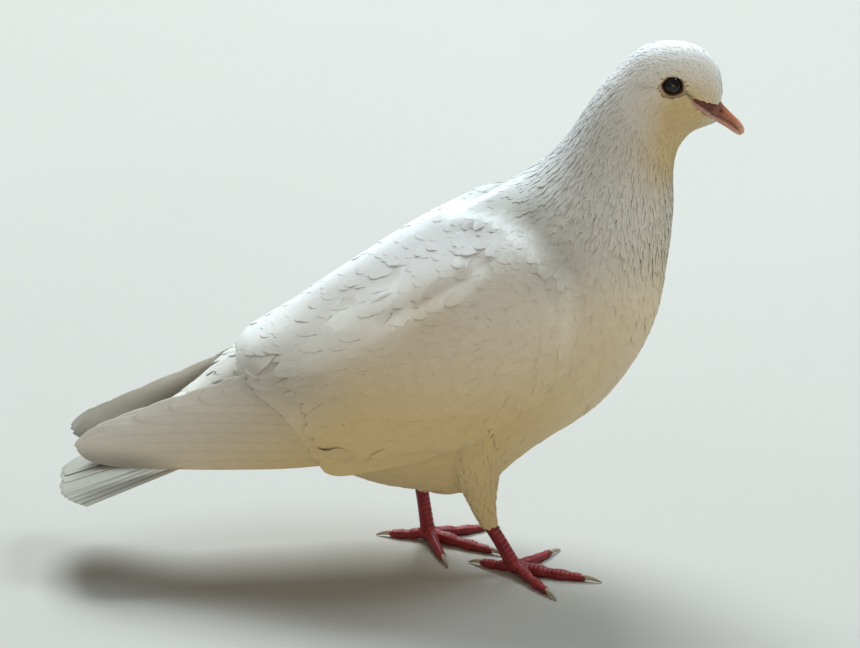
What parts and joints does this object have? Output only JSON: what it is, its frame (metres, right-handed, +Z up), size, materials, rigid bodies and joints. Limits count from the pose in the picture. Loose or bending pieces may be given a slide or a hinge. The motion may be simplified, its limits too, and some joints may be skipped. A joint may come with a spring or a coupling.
{
  "type": "pigeon",
  "caption": "Life-size still model of a white domestic pigeon, standing on bare red feet with one foot ahead, wings folded and the head raised.",
  "frame": {"origin": "on the floor, below the middle of the bird's bounding box", "axes": "+X forwards, the way the bird faces; +Y to the bird's left; +Z up"},
  "size_m": [0.281, 0.0926, 0.2312],
  "materials": {
    "plumage": "soft matt white body feathers, warmer on the belly",
    "flight_feathers": "smooth white vanes with a faint silky sheen",
    "leg_skin": "scaly crimson skin with paler edges to the scutes",
    "claw_horn": "pale horn",
    "bill_horn": "satin salmon horn, red-brown at the root",
    "eye": "wet gloss, near black with a dark brown iris"
  },
  "bodies": {
    "root": {"head": "plumage", "neck": "plumage", "trunk": "plumage", "wing_left": "plumage", "wing_right": "plumage", "primaries_left": "flight_feathers", "primaries_right": "flight_feathers", "tail": "flight_feathers", "thigh_left": "plumage", "thigh_right": "plumage", "tarsus_left": "leg_skin", "tarsus_right": "leg_skin", "toe_middle_left": "leg_skin", "toe_outer_left": "leg_skin", "toe_inner_left": "leg_skin", "toe_hind_left": "leg_skin", "toe_middle_right": "leg_skin", "toe_outer_right": "leg_skin", "toe_inner_right": "leg_skin", "toe_hind_right": "leg_skin", "claw_middle_left": "claw_horn", "claw_outer_left": "claw_horn", "claw_inner_left": "claw_horn", "claw_hind_left": "claw_horn", "claw_middle_right": "claw_horn", "claw_outer_right": "claw_horn", "claw_inner_right": "claw_horn", "claw_hind_right": "claw_horn", "bill_upper": "bill_horn", "bill_lower": "bill_horn", "eye_left": "eye", "eye_right": "eye"}
  },
  "joints": []
}
